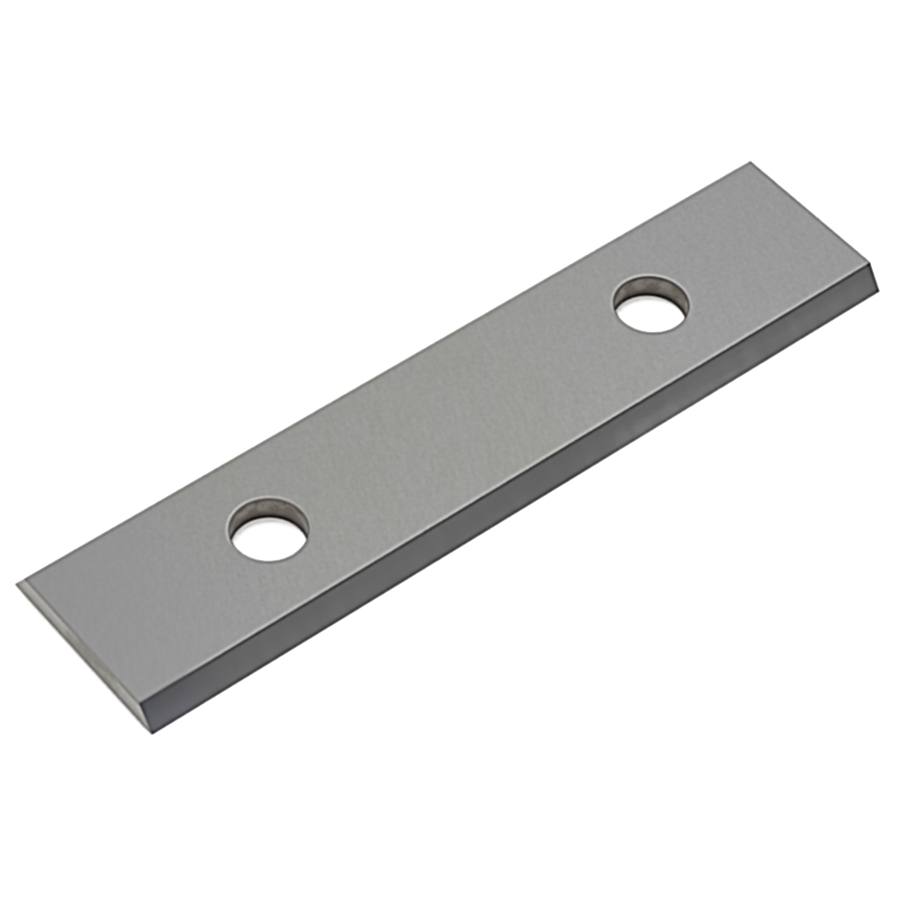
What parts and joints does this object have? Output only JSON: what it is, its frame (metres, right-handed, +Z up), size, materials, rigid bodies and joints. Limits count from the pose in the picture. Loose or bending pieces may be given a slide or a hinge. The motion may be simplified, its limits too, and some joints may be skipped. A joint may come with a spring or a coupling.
{
  "type": "planer knife",
  "caption": "Flat reversible planer knife: a thin carbide strip with bevelled cutting edges on its long sides and plain screw holes on its centre line.",
  "frame": {"origin": "centre of the wide face, which carries both cutting edges and which the knife rests on", "axes": "+X along the knife, +Y across it towards one cutting edge, +Z up through its thickness from the wide face to the narrow one"},
  "size_m": [0.0494, 0.012, 0.0015],
  "materials": {
    "ground_carbide": "finely ground matt grey carbide, with sintered skin on the ends and in the holes"
  },
  "bodies": {
    "root": {"planer_knife": "ground_carbide"}
  },
  "joints": []
}
